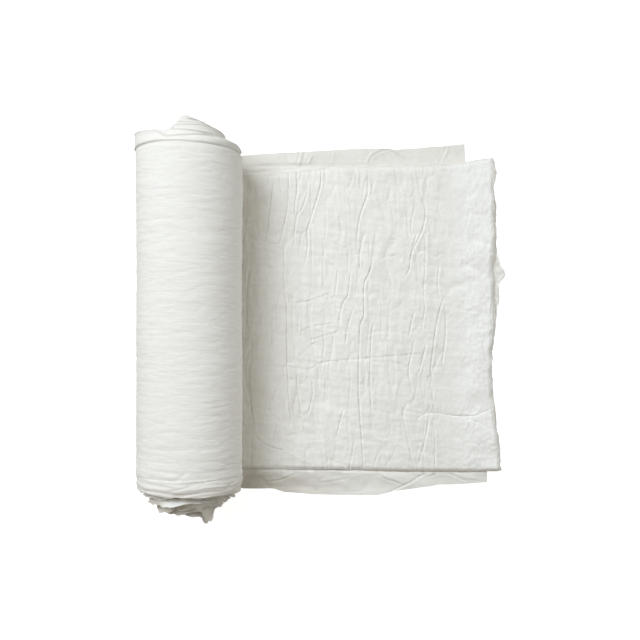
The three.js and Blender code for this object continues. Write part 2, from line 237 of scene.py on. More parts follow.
def make_gauze():
    material, tree, shader = cotton("bleached cotton gauze", 0.92, 0.08)
    cloth = add_node(tree, "UVMap", uv_map=CLOTH_MAP).outputs["UV"]
    warp, weft = (
        add_node(
            tree,
            "TexWave",
            {"Vector": cloth, "Scale": WAVE_LENGTH / spacing, "Distortion": 1.2, "Detail Scale": 0.6},
            bands_direction=direction,
        ).outputs["Fac"]
        for direction, spacing in (("X", WARP_SPACING), ("Y", WEFT_SPACING))
    )
    weave = add_node(tree, "Math", {0: warp, 1: weft}, operation="MAXIMUM").outputs[0]
    yarn = add_node(tree, "Mapping", {"Vector": cloth, "Scale": (1, SLUB_LENGTH / WEFT_SPACING, 1)})
    slub_noise = {"Vector": yarn.outputs["Vector"], "Scale": 1 / SLUB_LENGTH, "Detail": 3, "Roughness": 0.6}
    slubs = add_node(tree, "TexNoise", slub_noise).outputs["Fac"]
    height = add_node(tree, "Math", {0: weave, 1: 0.5, 2: slubs}, operation="MULTIPLY_ADD").outputs[0]
    # The attribute holds what is behind the gauze, with painted shade and a painted highlight in places,
    # and the ramp turns it into the gauze's white.
    backing_and_painted_light = add_node(tree, "Attribute", attribute_name=BACKING_AND_PAINTED_LIGHT).outputs["Fac"]
    white = add_node(tree, "ValToRGB", {"Fac": backing_and_painted_light}, GAUZE_WHITES_AND_PAINTED_LIGHT).outputs["Color"]
    streaked = add_node(tree, "ValToRGB", {"Fac": slubs}, SLUB_WHITES).outputs["Color"]
    both = {"Factor": 1.0, "A": white, "B": streaked}
    colour = add_node(tree, "Mix", both, data_type="RGBA", blend_type="MULTIPLY")
    bump = add_node(tree, "Bump", {"Strength": 0.65, "Distance": THREAD_HEIGHT, "Height": height})
    tree.links.new(colour.outputs["Result"], shader.inputs["Base Color"])
    tree.links.new(bump.outputs["Normal"], shader.inputs["Normal"])
    return material


gauze = make_gauze()
print("gauze weave:", round(WARP_SPACING / MM, 1), "by", round(WEFT_SPACING / MM, 1), "mm")

# %% [markdown]
# ## Cotton wool
# The filling is carded cotton: loose fibres combed one way. It gives the eye a softer, warmer white
# than the gauze, with no shine and a fine downy grain. Two noises, one fine and one stretched along
# the fibres, raise it.

# %% Make the wool
FIBRE_CLUMP = 3.2 * MM
FIBRE_GRAIN = 0.8 * MM
FIBRE_HEIGHT = 0.5 * MM
FIBRE_STRETCH = 0.35  # the pattern's scale along the fibres, as a share of that across them
WOOL_WHITES = ((0.3, "#EAE6DC"), (0.65, "#F4F2EC"))


def make_wool():
    material, tree, shader = cotton("carded cotton wool", 1.0, 0.2)
    place = add_node(tree, "TexCoord").outputs["Object"]
    combed = add_node(tree, "Mapping", {"Vector": place, "Scale": (FIBRE_STRETCH, 1, 1)}).outputs["Vector"]
    clumps, grain = (
        add_node(
            tree, "TexNoise", {"Vector": combed, "Scale": 1 / size, "Detail": 4, "Distortion": 0.8}
        ).outputs["Fac"]
        for size in (FIBRE_CLUMP, FIBRE_GRAIN)
    )
    height = add_node(tree, "Math", {0: grain, 1: 0.35, 2: clumps}, operation="MULTIPLY_ADD").outputs[0]
    colour = add_node(tree, "ValToRGB", {"Fac": clumps}, WOOL_WHITES)
    bump = add_node(tree, "Bump", {"Strength": 0.7, "Distance": FIBRE_HEIGHT, "Height": height})
    tree.links.new(colour.outputs["Color"], shader.inputs["Base Color"])
    tree.links.new(bump.outputs["Normal"], shader.inputs["Normal"])
    return material


wool = make_wool()
print("wool fibre clumps of", round(FIBRE_CLUMP / MM, 1), "mm")

# %% [markdown]
# ## The table
# The table is plain white and only carries the roll. A little light of its own keeps it paler than
# the cloth, as on a lit white table. So bright a table would also light the cloth's undersides,
# which are dark in the photograph, so its light isn't let onto the cloth.

# %% Lay the table
bpy.ops.mesh.primitive_plane_add(size=FLOOR_SIDE, location=(0, 0, -FLOOR_DROP))
table = bpy.context.object
table.name = "table"
table_white, _, table_shader = cotton("matt white table", 0.9, 0)
table_shader.inputs["Base Color"].default_value = linear("#F6F6F6")
table_shader.inputs["Emission Color"].default_value = linear("#FFFFFF")
table_shader.inputs["Emission Strength"].default_value = FLOOR_GLOW
table.data.materials.append(table_white)
table.visible_diffuse = False
print("table:", FLOOR_SIDE, "m each way")

# %% [markdown]
# ## Cloth with a thickness
# Each piece starts as a flat grid, the cut, whose points are then bent into place. A sheet needs two
# such grids, its upper and its lower face, and a rim between them, so that it is a closed solid with
# a real thickness. The lower face is mostly hidden, so its grid may be coarser: a rim face then
# joins one edge of the lower grid to several of the upper one. The flat cut's measures go into a
# map, so that the weave follows the cloth, and what lies behind each point, with painted shade and a
# painted highlight, into an attribute.

# %% Make a closed sheet
SHARP_EDGE = math.radians(70)


def grid_faces(ids, folds=None):
    """Squares, or triangles, each square parted along the diagonal with the more of a fold in it."""
    a, b, c, d = ids[:-1, :-1], ids[1:, :-1], ids[1:, 1:], ids[:-1, 1:]
    if folds is None:
        return np.stack([a, b, c, d], -1).reshape(-1, 4).tolist()
    flat = folds.ravel()
    straight = np.abs(flat[a] + flat[c]) > np.abs(flat[b] + flat[d])
    first = np.stack([a, b, np.where(straight, c, d)], -1)
    second = np.stack([np.where(straight, a, b), c, d], -1)
    return first.reshape(-1, 3).tolist() + second.reshape(-1, 3).tolist()


def rim_faces(upper, lower):
    step = (len(upper) - 1) // (len(lower) - 1)
    return [
        [lower[k], lower[k + 1], *upper[k * step : (k + 1) * step + 1][::-1]] for k in range(len(lower) - 1)
    ]


def grid(along, across):
    return np.meshgrid(along, across, indexing="ij")


def closed_sheet(name, upper, lower, cut, material, folds=None, backing_and_painted_light=ON_WOOL):
    """A closed sheet between two grids of points, wound anticlockwise seen from above. The lower
    grid may leave out points of the upper one, evenly. cut has the upper points' places along and
    across the cloth, folds the height of its folds, and the last argument what is behind it, with
    painted shade and a painted highlight added in places."""
    step = (upper.shape[0] - 1) // (lower.shape[0] - 1)
    carried = np.stack(np.broadcast_arrays(*cut, backing_and_painted_light), -1)
    carried = np.concatenate([carried.reshape(-1, 3), carried[::step, ::step].reshape(-1, 3)])
    carried = carried.astype(np.float32)
    points = np.concatenate([upper.reshape(-1, 3), lower.reshape(-1, 3)])
    above = np.arange(upper[..., 0].size).reshape(upper.shape[:2])
    below = above.size + np.arange(lower[..., 0].size).reshape(lower.shape[:2])
    faces = grid_faces(above, folds) + grid_faces(below[:, ::-1])
    for side in (np.s_[:, 0], np.s_[::-1, -1], np.s_[0, ::-1], np.s_[-1]):
        faces += rim_faces(above[side].tolist(), below[side].tolist())

    mesh = bpy.data.meshes.new(name)
    mesh.from_pydata(points.tolist(), [], faces)
    corners = np.empty(len(mesh.loops), int)
    mesh.loops.foreach_get("vertex_index", corners)
    mesh.uv_layers.new(name=CLOTH_MAP).uv.foreach_set("vector", carried[corners, :2].ravel())
    mesh.attributes.new(BACKING_AND_PAINTED_LIGHT, "FLOAT", "POINT").data.foreach_set("value", carried[:, 2].ravel())
    mesh.materials.append(material)
    piece = bpy.data.objects.new(name, mesh)
    bpy.context.scene.collection.objects.link(piece)
    bpy.ops.object.select_all(action="DESELECT")
    piece.select_set(True)
    bpy.context.view_layer.objects.active = piece
    bpy.ops.object.shade_smooth_by_angle(angle=SHARP_EDGE)
    print(name, "has", sum(len(face) - 2 for face in faces), "triangles")
    return piece


# %% [markdown]
# ## Listed creases
# A crease is a bent line on the cloth: a few places along it, how deep its trough is, and how high
# the cloth on its right puffs up, which the winding pushed against the line. A smooth line is laid
# through its places. Points of the grid beside the line are drawn onto it, so that the trough stays
# sharp, and all points near it move by their distance from it.

# %% Press creases
CREASE_HALF_WIDTH = 0.8 * MM
PUFF_PLACE = 2.6 * MM  # to the right of the line
PUFF_HALF_WIDTH = 1.7 * MM
LEFT_PUFF = 0.4  # of the puff on the right
CREASE_REACH = 9 * MM
ROUTE_STEPS = 6  # between one place of a route and the next
FADE_SHARE = 0.14  # of a crease's length, at each end


def rounded_route(places):
    """Points on a smooth line through the places."""
    p = np.array([places[0], *places, places[-1]], float) * MM
    t = np.linspace(0, 1, ROUTE_STEPS, endpoint=False)[:, None]
    spans = [
        0.5 * (2 * b + (c - a) * t + (2 * a - 5 * b + 4 * c - d) * t**2 + (3 * b - a - 3 * c + d) * t**3)
        for a, b, c, d in zip(p, p[1:], p[2:], p[3:])
    ]
    return np.concatenate([*spans, p[-1:]])


def beside(route, along, across, reach):
    """Which points lie within reach of a route, the way to each from its line, how far that is,
    positive on the right of a line that comes nearer, and where along the line it is, from 0 to 1."""
    line = rounded_route(route)
    low, high = line.min(0) - reach, line.max(0) + reach
    close = np.nonzero((along > low[0]) & (along < high[0]) & (across > low[1]) & (across < high[1]))
    point = np.stack([along[close], across[close]], -1)
    start, run = line[:-1, None], np.diff(line, axis=0)[:, None]
    t = np.clip(((point - start) * run).sum(-1) / (run**2).sum(-1), 0, 1)
    away = point - start - t[..., None] * run
    distance = np.hypot(away[..., 0], away[..., 1])
    side = np.sign(away[..., 1] * run[..., 0] - away[..., 0] * run[..., 1])
    share = (np.arange(len(run))[:, None] + t) / len(run)
    nearest = distance.argmin(0), np.arange(len(point))
    return close, away[nearest], (distance * side)[nearest], share[nearest]


def drawn_onto(along, across, creases, nearer_than):
    """The grid's places, with those beside a crease moved onto its line."""
    along, across = along.copy(), across.copy()
    for _, _, route in creases:
        close, way, distance, share = beside(route, along, across, nearer_than)
        way[(np.abs(distance) > nearer_than) | (share <= 0) | (share >= 1)] = 0
        along[close] -= way[:, 0]
        across[close] -= way[:, 1]
    return along, across


def relief(along, across, creases, half_width=CREASE_HALF_WIDTH):
    """The height that the creases give to each point of a cloth. Each is its trough's depth, which
    is negative for a ridge, the puff's height and the route, all in millimetres."""
    height = np.zeros(along.shape)
    for depth, puff_height, route in creases:
        close, _, distance, share = beside(route, along, across, CREASE_REACH)
        strength = smooth(share, 0, FADE_SHARE) * (1 - smooth(share, 1 - FADE_SHARE, 1))
        trough = np.exp(-((distance / half_width) ** 2))
        puff = np.exp(-(((distance - PUFF_PLACE) / PUFF_HALF_WIDTH) ** 2))
        puff += LEFT_PUFF * np.exp(-(((distance + PUFF_PLACE) / PUFF_HALF_WIDTH) ** 2))
        height[close] += MM * strength * (puff_height * puff - depth * trough)
    return height


print("a crease's trough is", round(2 * CREASE_HALF_WIDTH / MM, 1), "mm wide")

# %% [markdown]
# ## How the roll is wound
# The pad is wound eight times round itself. A place on it is told by its turn, counted from the
# roll's lowest line, where the pad leaves it: up the side away from the loose end, over the top
# and down on the loose end. One function turns a turn, a place along the roll and a depth under the
# outermost ply into a point. Each turn reaches further out than the one outside it, as when a roll's
# core has slipped, so two tables say how far, at six places round a turn. Past the wool the gauze is
# limp: it closes in on the turns inside it, or stands off from them.

# %% Wind the roll
OUTER_RADIUS = 68 * MM
TURN_PITCH = 7.6 * MM
TURN_COUNT = 8
FLATTENING = 1 * MM  # the roll's own weight presses its underside flat
WIDER_AT_FAR_END = 0.7 * MM
BARREL_WAVE = 0.35 * MM
BARREL_WAVE_LENGTH = 60 * MM
HALF_WIDTH = 203 * MM
axis_z = OUTER_RADIUS - FLATTENING

# The edges' reach from the middle of the roll, in millimetres, a row for each turn: under the roll,
# on the side away from the loose end, twice short of the top, past the top, on the loose end's side.
TURN_PLACES = (0, 0.25, 0.42, 0.45, 0.6, 0.75)
FAR_EDGES = [
    (202, 204, 204.6, 205, 202.6, 199),
    (212, 225.5, 220, 212, 216, 206),
    (216, 226, 221, 223.5, 220, 214.5),
    (220, 225, 223, 230.5, 230, 225),
    (224, 226, 225, 236, 234, 231),
    (228, 229, 228, 243.5, 238, 235),
    (232, 233, 235, 246.5, 241, 238),
    (238, 240, 242, 246, 244, 242),
]
NEAR_EDGES = [
    (206, 202, 203.5, 204, 205, 209.5),
    (210, 213, 209, 207, 207, 215.5),
    (214, 221, 217, 213, 213, 220.5),
    (218, 225, 228, 224, 222, 227),
    (222, 228, 231, 231, 228, 229),
    (226, 229, 231, 232, 236, 232),
    (230, 230, 232, 233, 236, 233),
    (230, 230, 230, 230, 230, 230),
]
# Torn tongues at the near end: the turn, how many millimetres the tongue reaches past its edge, and
# its half width in turns.
NEAR_TONGUES = [(2.455, 2.5, 0.024), (3.36, 2, 0.02), (4.645, 14.5, 0.047), (5.7, 4, 0.06)]
# How many millimetres the gauze reaches past the wool of its own turn, at whole turns.
WOOL_INSIDE_EDGE = [3, 9, 14, 16, 16, 16, 16, 14, 10]
# Where a margin stands off, in millimetres: the turn, and how much. Each margin starts to lift over
# a stretch of the roll, and the far one's second turn settles again further out.
FAR_FLARE = [(1, 0), (1.12, 7), (1.25, 9), (1.4, 6.5), (1.5, 4.6), (1.75, 5.4), (1.95, 0)]
FAR_FLARE += [(2.05, 0), (2.25, 6), (2.4, 2), (2.5, 1), (2.75, 3), (2.95, 0)]
FAR_LIFTS_OVER = (200, 208)
FAR_SETTLES_OVER = (209, 224)
NEAR_FLARE = [(2.15, 0), (2.38, 2), (2.44, 10), (2.5, 9), (2.62, 5), (2.72, 3), (2.9, 0)]
NEAR_LIFTS_OVER = (206, 214)
CLOSING_IN = 4 * MM  # of a near margin
SLUMP = 3.6 * MM  # of a margin on top of the roll, under its own weight
CURL = 2 * MM  # outwards, of a margin's last few millimetres
CURL_WIDTH = 2.2 * MM


def edge_line(table, turn):
    places = np.add.outer(range(TURN_COUNT), TURN_PLACES).ravel()
    return np.interp(turn, places, np.ravel(table) * MM)


def edge_reach(table, turn):
    """How far from the roll's middle a turn of gauze reaches."""
    reach = edge_line(table, turn)
    if table is NEAR_EDGES:
        for middle, length, half_width in NEAR_TONGUES:
            reach = reach + length * MM * np.exp(-(((turn - middle) / half_width) ** 4))
    return reach


def wool_reach(table, turn):
    """How far from the roll's middle a turn of wool reaches."""
    inside = np.interp(turn, range(len(WOOL_INSIDE_EDGE)), WOOL_INSIDE_EDGE)
    return edge_line(table, turn) - inside * MM


def off_wool(y, table, turn, before, past):
    """0 to so many millimetres before the wool's edge, and 1 from so many past the gauze's."""
    return smooth(y, wool_reach(table, turn) - before * MM, edge_reach(table, turn) + past * MM)


def wound(turn, y, depth):
    """The points of the wind at a turn, a place along the roll and a depth under its outermost ply."""
    angle = 2 * np.pi * turn
    from_table = np.abs(np.sin(angle / 2))
    swell = WIDER_AT_FAR_END * y / HALF_WIDTH
    swell = swell + BARREL_WAVE * np.sin(2 * angle + y / BARREL_WAVE_LENGTH) * np.sin(angle / 2)
    inner = smooth(turn, 0.9, 1.1)
    past_far_wool = off_wool(y, FAR_EDGES, turn, 1, 2)
    past_near_wool = off_wool(-y, NEAR_EDGES, turn, 1, 2)
    stands_off = np.interp(turn, *zip(*FAR_FLARE)) * MM * rise(y, *FAR_LIFTS_OVER)
    stands_off = stands_off * (1 - 0.6 * rise(y, *FAR_SETTLES_OVER) * smooth(turn, 1.4, 1.6))
    stands_off = stands_off + np.interp(turn, *zip(*NEAR_FLARE)) * MM * rise(-y, *NEAR_LIFTS_OVER)
    from_edge = np.minimum(edge_reach(FAR_EDGES, turn) - y, y + edge_reach(NEAR_EDGES, turn))
    curl = CURL * inner * np.exp(-np.clip(from_edge / CURL_WIDTH, 0, 9)) * (1 + past_near_wool)
    radius = OUTER_RADIUS - TURN_PITCH * turn - depth + swell * from_table + stands_off + curl
    radius = radius - CLOSING_IN * inner * past_near_wool
    slump = SLUMP * smooth(turn, 0.6, 1.4) * (past_far_wool + 0.4 * past_near_wool)
    x = axis_x - radius * np.sin(angle)
    z = axis_z - radius * np.cos(angle) - slump
    # Under the roll a ply is at least as high as it lies deep, so that the plies stay in order.
    return np.stack([x, y + 0 * x, np.maximum(z, np.minimum(depth, 10 * MM))], -1)


def length_wound(turn):
    """The length of pad from the roll's lowest line up to a turn."""
    return 2 * np.pi * (OUTER_RADIUS * turn - TURN_PITCH * turn**2 / 2)


print("pad in the roll:", round(length_wound(TURN_COUNT), 2), "m")

# %% [markdown]
# ## The outermost ply
# The roll's outside is one turn of the wide back gauze. Winding pulls it tight along its length and
# lets it gather across, so it is full of fine wrinkles that run round the roll, a few millimetres
# apart. Near the torn end they deepen into gathers, which part and meet. They are real relief, and
# only the threads are left to the material.

# %% Bend the outermost ply round the roll
GAUZE_THICKNESS = 0.5 * MM
OUTER_COLUMNS = 220
OUTER_ROWS = 400
UNDERSIDE_STEP = 4
# Two short dents near the far end, in millimetres round the roll and along it.
OUTER_DENTS = [
    (0.6, 0.4, [(203.6, 191), (205, 187), (207.1, 183)]),
    (0.5, 0.3, [(208.4, 191.6), (209.7, 184)]),
]
# Layers of unevenness: the height, the lengths round the roll and along it, and a seed.
WANDER = (2.2, 34, 22, 13)
STREAKS = [(0.26, 13, 2.9, 14), (0.24, 24, 4.8, 15), (0.3, 50, 10, 16)]
LUMPS = (0.5, 48, 70, 17)
GATHERS_OVER = (158, 192)  # where they set in towards the near end
NEAR_END_PAINTED_SHADE_OVER = (183, 203)  # where painted shade greys the gauze towards the near end


def outer_gauze_piece():
    turn, share = grid(np.linspace(0.001, 0.999, OUTER_COLUMNS + 1), np.linspace(0, 1, OUTER_ROWS + 1))
    run = length_wound(turn)
    near = -edge_reach(NEAR_EDGES, turn) + ragged(run, (0.8, 12, 11))
    far = edge_reach(FAR_EDGES, turn) + ragged(run, (0.3, 30, 12))
    y = near + (far - near) * share
    wandering = y + layered(run, y, WANDER)
    streaks = layered(run, wandering, *STREAKS) - 0.3 * MM * hairlines(run, wandering, 30, 7, 0.1, 19)
    gathers = 1 - 2 * np.abs(uneven(run, wandering, 45, 4, 18))
    gathers += 0.8 * uneven(run, wandering, 34, 6.5, 20)
    gathers -= 1.4 * hairlines(run, wandering, 60, 7, 0.12, 10)
    turned_in = 1.1 * MM * rise(y, 198, 206) + 2.4 * MM * rise(-y, 192, 209)
    lift = 0.85 * streaks + layered(run, y, LUMPS) + 0.8 * MM * rise(-y, *GATHERS_OVER) * gathers
    lift = (lift - turned_in + relief(run, y, OUTER_DENTS)) * smooth(turn, 0, 0.05)
    lift *= 1 - smooth(turn, 0.95, 1)
    upper = wound(turn, y, -lift)
    lower = wound(turn, y, GAUZE_THICKNESS - lift)[::UNDERSIDE_STEP, ::UNDERSIDE_STEP]
    # Painted shade: the gauze is painted greyer over its last stretch towards the near end, which faces
    # away from the lamps; the small random change of tone is the cloth's own.
    backing_and_painted_light = ON_WOOL - 0.28 * rise(-y, *NEAR_END_PAINTED_SHADE_OVER) + 0.04 * uneven(run, y, 20, 7, 9)
    return closed_sheet("outer_gauze", upper, lower, (run, y), gauze, streaks, backing_and_painted_light)


outer_gauze = outer_gauze_piece()

# %% [markdown]
# ## The wound wool
# Under that ply lies the wool, wound with the gauze like a spring. At the roll's ends it shows as a
# spiral of soft white bands between thin plies, so it is made as one long band. Its cut edges are
# rounded and lumpy, more so at the near end, where the wool was torn.

# %% Wind the wool
WOOL_DEPTH = 0.9 * MM
WOUND_WOOL_THICKNESS = 5.2 * MM
TURN_STEPS = 72
EDGE_ROUNDING = 3.5 * MM
EDGE_THINNING = 1.9 * MM


def across_rows(edge_rows, middle_rows):
    """Shares of a width, close together near both edges. The last edge row is a tenth of it in."""
    edge = 0.1 * np.linspace(0, 1, edge_rows) ** 1.3
    middle = np.linspace(0.1, 0.9, middle_rows + 2)[1:-1]
    return np.concatenate([edge, middle, 1 - edge[::-1]])


def wound_wool_piece():
    turn, share = grid(np.linspace(0.003, TURN_COUNT, TURN_COUNT * TURN_STEPS + 1), across_rows(9, 5))
    run = length_wound(turn)
    near = -wool_reach(NEAR_EDGES, turn) + ragged(run, (1.6, 9, 21))
    far = wool_reach(FAR_EDGES, turn) + ragged(run, (0.7, 16, 22))
    y = near + (far - near) * share
    from_edge = np.minimum(y - near, far - y)
    thinner = EDGE_THINNING * (1 - smooth(from_edge, 0, EDGE_ROUNDING))
    lumps = layered(run, y, (0.35, 11, 7, 23))
    upper = wound(turn, y, WOOL_DEPTH + thinner - lumps)
    lower = wound(turn, y, WOOL_DEPTH + WOUND_WOOL_THICKNESS - thinner - lumps)
    return closed_sheet("wound_wool", upper, lower, (run, y), wool)


wound_wool = wound_wool_piece()

# %% [markdown]
# ## The inner turns of gauze
# The wide back gauze goes on into the roll. Its margins have no wool in them, so they step out
# towards the core in thin plies with dark gaps between them: smooth at the far end, torn and ruffled
# at the near one. There the plies are also painted greyer, as painted shade, and one torn flap
# whiter, as a painted highlight. Each turn's face gauze lies close on the next turn's back gauze and
# shows as a second edge beside it.

# %% Wind the inner gauze
PLIES_APART = 1.1 * MM  # from the face gauze of one turn to the back gauze of the next
# How far a turn's face gauze reaches past its back gauze: at the near and the far end.
FACE_PAST_BACK = (1.5 * MM, 2.6 * MM)
INNER_STEPS = 100  # in each turn
PAINTED_HIGHLIGHT_FLAP = 2.47  # the turn of a torn flap at the near end, painted whiter as a painted highlight
FLAP_HALF_WIDTH = 0.035  # in turns


def past_wool(turn, y):
    """0 over a turn's wool and 1 from 5 mm past its near edge."""
    return smooth(-y, wool_reach(NEAR_EDGES, turn), wool_reach(NEAR_EDGES, turn) + 5 * MM)


def inner_gauze_piece():
    turns = np.linspace(0.999, TURN_COUNT, (TURN_COUNT - 1) * INNER_STEPS + 1)
    turn, share = grid(turns, across_rows(25, 4))
    run = length_wound(turn)
    torn = smooth(turn, 1, 1.8)
    near = -edge_reach(NEAR_EDGES, turn) + torn * ragged(run, (1.5, 11, 31), (0.7, 3.6, 32))
    far = edge_reach(FAR_EDGES, turn) + ragged(run, (0.5, 35, 33))
    y = near + (far - near) * share
    loose_far = off_wool(y, FAR_EDGES, turn, 3, 0)
    loose_near = off_wool(-y, NEAR_EDGES, turn, 3, 0)
    loose_side = smooth(turn % 1, 0.45, 0.6) * (1 - smooth(turn % 1, 0.82, 0.95))
    ripple = loose_far * layered(run, y, (0.5, 30, 5, 34))
    ripple += (0.3 + 1.1 * loose_side) * loose_far * layered(run, y, (1, 80, 2.8, 37))
    ripple += loose_near * layered(run, y, (1.5, 14, 7, 35), (0.7, 5, 4, 36))
    upper = wound(turn, y, -ripple)
    lower = wound(turn, y, GAUZE_THICKNESS - ripple)
    # Painted shade and highlight: the torn near margins past the wool are painted grey, as painted shade
    # between the plies, and one torn flap is painted whiter, as a painted highlight.
    bare_and_painted_shade = torn * past_wool(turn, y)
    painted_highlight = np.exp(-(((turn - PAINTED_HIGHLIGHT_FLAP) / FLAP_HALF_WIDTH) ** 4))
    backing_and_painted_light = ON_WOOL + (painted_highlight - ON_WOOL) * bare_and_painted_shade
    return closed_sheet("inner_gauze", upper, lower, (run, y), gauze, backing_and_painted_light=backing_and_painted_light)


def inner_face_gauze_piece():
    turns = np.linspace(0.003, TURN_COUNT - 1.1, (TURN_COUNT - 1) * TURN_STEPS + 1)
    turn, share = grid(turns, across_rows(8, 3))
    run = length_wound(turn)
    near = -edge_reach(NEAR_EDGES, turn) - FACE_PAST_BACK[0] - ragged(run, (2.2, 14, 41))
    far = edge_reach(FAR_EDGES, turn) + FACE_PAST_BACK[1] + ragged(run, (0.5, 22, 42))
    y = near + (far - near) * share
    # The next turn's gauze may stop short of this one's, which then hangs on as if it went further.
    upper = wound(turn + 1, y, -PLIES_APART - GAUZE_THICKNESS)
    lower = wound(turn + 1, y, -PLIES_APART)
    # Painted shade: past the wool the near margin is painted greyer.
    backing_and_painted_light = ON_WOOL * (1 - past_wool(turn, y))
    return closed_sheet("inner_face_gauze", upper, lower, (run, y), gauze, backing_and_painted_light=backing_and_painted_light)


inner_gauze = inner_gauze_piece()
inner_face_gauze = inner_face_gauze_piece()

# %% [markdown]
# ## The pad's creases
# The face gauze was on the inside of the wind, where there was too little room for it, so it was
# pressed into troughs across the pad. A few run the other way, from the roll to the loose end. Each
# is placed in millimetres along the pad from under the roll's axis, and across it from the
# middle. A negative depth is a ridge.

# %% Place the creases
LONG_CREASES = [
    (1.7, 0.6, [(220, 196), (220, 166), (218, 157), (212, 142), (208, 125), (206, 101)]),
    (1.1, 0.3, [(227, 181), (224, 161)]),
    (1.5, 0.3, [(216, 114), (211, 93), (209, 83), (210, 62)]),
    (2, 0.55, [(226, 92), (225, 73), (220, 57), (215, 44), (215, 7), (210, -10), (208, -69),
               (209, -112), (213, -168), (215, -196)]),
    (1.5, 0.4, [(228, -4), (225, -19), (223, -64), (223, -90), (226, -129)]),
    (1.5, 0.5, [(111, 112), (111, 65), (112, 36), (115, 7), (115, -51), (118, -110), (120, -126),
                (117, -150)]),
    (1.1, 0.3, [(130, 9), (129, -19)]),
    (1.3, 0.3, [(127, -69), (129, -91), (134, -126), (140, -150)]),
    (1.9, 0.5, [(98, 182), (94, 149), (90, 116), (86, 100)]),
    (1.3, 0.3, [(96, 14), (95, -16), (97, -45)]),
    (1.3, 0.3, [(102, -85), (96, -106), (92, -122)]),
    (1.1, 0.3, [(105, -126), (99, -150), (96, -174)]),
    (1.6, 0.5, [(159, 208), (159, 179), (154, 158), (144, 126), (141, 112), (142, 94), (136, 65)]),
    (1.1, 0.3, [(162, -19), (163, -34), (158, -73)]),
    (1.3, 0.4, [(143, 175), (140, 161), (134, 144), (127, 133), (124, 102), (123, 94)]),
    (1.5, 0.4, [(127, 200), (128, 170), (125, 147), (126, 132)]),
    (1.8, 0.5, [(116, 146), (109, 114), (105, 98)]),
    (1.0, 0.2, [(105, 188), (108, 157)]),
    (1.0, 0.2, [(83, 188), (83, 166)]),
    (1.0, 0.2, [(92, 188), (90, 172)]),
    (1.1, 0.2, [(118, 190), (117, 168)]),
    (1.0, 0.2, [(134, 114), (131, 88)]),
    (1.0, 0.2, [(204, 196), (205, 172)]),
    (1.1, 0.3, [(195, 93), (194, 62)]),
    (1.1, 0.3, [(181, 66), (177, 29)]),
    (1.3, 0.3, [(198, 66), (194, 33), (187, 20), (181, -8)]),
    (1.1, 0.3, [(201, 15), (195, -5), (190, -33)]),
    (1.1, 0.3, [(147, -77), (148, -98), (141, -126)]),
    (1.0, 0.2, [(166, -75), (163, -111)]),
    (1.1, 0.3, [(188, -116), (179, -153)]),
    (1.1, 0.3, [(202, -158), (196, -194)]),
    (1.0, 0.2, [(168, -178), (168, -194)]),
    (1.5, 0.5, [(286, 178), (288, 165), (295, 143), (292, 120), (284, 102), (276, 83), (274, 66),
                (265, 52)]),
    (1.3, 0.3, [(281, 149), (277, 128), (275, 113)]),
    (1.3, 0.3, [(284, 113), (277, 89), (276, 76)]),
    (1.2, 0.4, [(293, 115), (295, 88), (293, 36), (294, 13), (288, -20)]),
    (1.3, 0.4, [(313, 74), (311, 44), (315, 24)]),
    (2.1, 0.65, [(320, 33), (312, 7), (307, -23), (303, -53), (302, -66), (306, -85)]),
    (1.5, 0.3, [(321, 10), (321, -23), (316, -61)]),
    (-1.1, 0, [(309, -90), (305, -106), (300, -121)]),
    (1.5, 0.5, [(299, -125), (297, -143), (293, -161), (285, -191)]),
    (1.5, 0.3, [(280, 10), (273, -22)]),
    (1.3, 0.4, [(280, -25), (278, -40), (273, -65), (276, -86), (286, -119)]),
    (1.3, 0.3, [(296, -30), (290, -56), (285, -72)]),
    (1.1, 0.3, [(293, -68), (295, -104)]),
    (1.2, 0.3, [(266, -113), (267, -130), (274, -163), (280, -198)]),
    (1.5, 0.3, [(306, -142), (307, -161), (307, -197)]),
    (1.5, 0.3, [(66, 66), (63, 34), (62, -12)]),
    (1.5, 0.3, [(68, -26), (69, -46), (65, -74), (69, -117), (73, -145)]),
]
CROSS_CREASES = [
    (-1.3, 0, [(75, 117), (93, 118), (113, 118), (131, 115), (142, 112)]),
    (-0.6, 0, [(142, 112), (165, 106), (192, 96), (213, 92)]),
    (-0.5, 0.2, [(220, 90), (256, 87), (293, 84)]),
    (0.8, 0.1, [(73, 97), (106, 99)]),
    (0.95, 0.2, [(70, -60), (113, -61), (144, -64), (159, -56), (194, -52), (256, -47), (330, -42)]),
    (1.2, 0.3, [(72, -150), (88, -163), (106, -169), (112, -171)]),
    (-0.7, 0, [(106, -169), (118, -173), (132, -180), (153, -192)]),
    (0.8, 0.3, [(118, 22), (137, 23), (153, 28), (181, 37)]),
    (0.8, 0.3, [(131, -16), (145, -10), (175, -4)]),
    (0.8, 0.3, [(138, -29), (162, -21), (184, -15)]),
    (0.6, 0.1, [(128, -50), (154, -27)]),
    (1.7, -0.7, [(281, -131), (291, -124), (303, -121), (326, -124), (349, -128), (373, -138)]),
    (2.1, 0, [(322, -122), (331, -125), (354, -125), (367, -121), (388, -113)]),
]
CREASE_KEPT = 0.9  # of each crease's depth, now that the pad lies flat
print("creases:", len(LONG_CREASES + CROSS_CREASES))

# %% [markdown]
# ## The pad's outline
# The wool's loose end was torn across, so it wavers, and one tuft reaches further than the rest. The
# face gauze stops a little short of it. At the far edge, near the roll, it was pulled in and leaves a
# strip of wool bare. Both outlines are lists of places, with straight lines between them.

